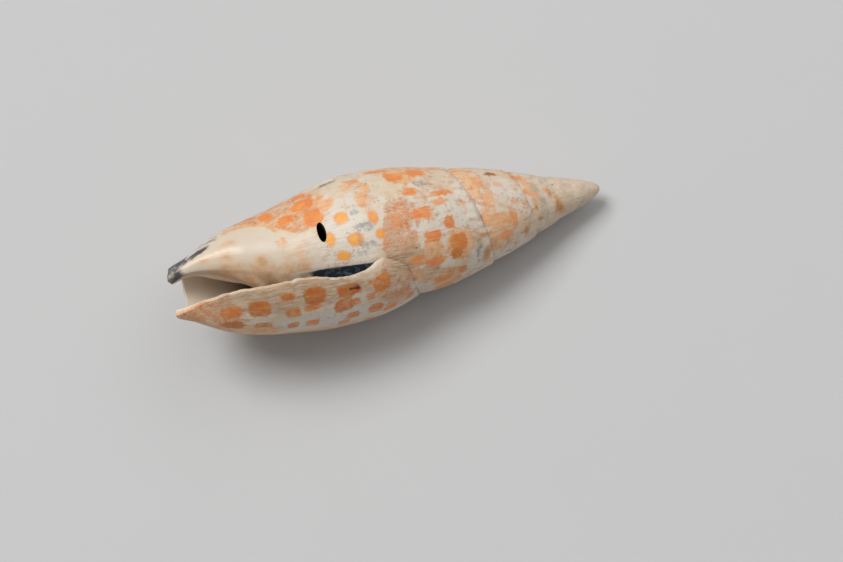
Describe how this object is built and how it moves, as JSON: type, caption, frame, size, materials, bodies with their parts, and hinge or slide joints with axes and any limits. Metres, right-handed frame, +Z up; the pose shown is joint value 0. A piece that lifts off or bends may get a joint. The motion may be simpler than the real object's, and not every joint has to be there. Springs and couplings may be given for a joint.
{
  "type": "mitre shell",
  "caption": "Spindle-shaped spiral sea shell with a tall pointed spire, a narrow opening along the last whorl, a siphon notch and an oval bore hole.",
  "frame": {"origin": "bottom centre of the bounding box, on the surface that the shell lies on", "axes": "+X runs towards the tip of the spire, +Z is up, and the opening faces up and towards -Y"},
  "size_m": [0.1088, 0.0362, 0.0397],
  "materials": {
    "shell": "worn satin shell, cream with orange spots, glossy beside the opening"
  },
  "bodies": {
    "root": {"mitre_shell": "shell"}
  },
  "joints": []
}
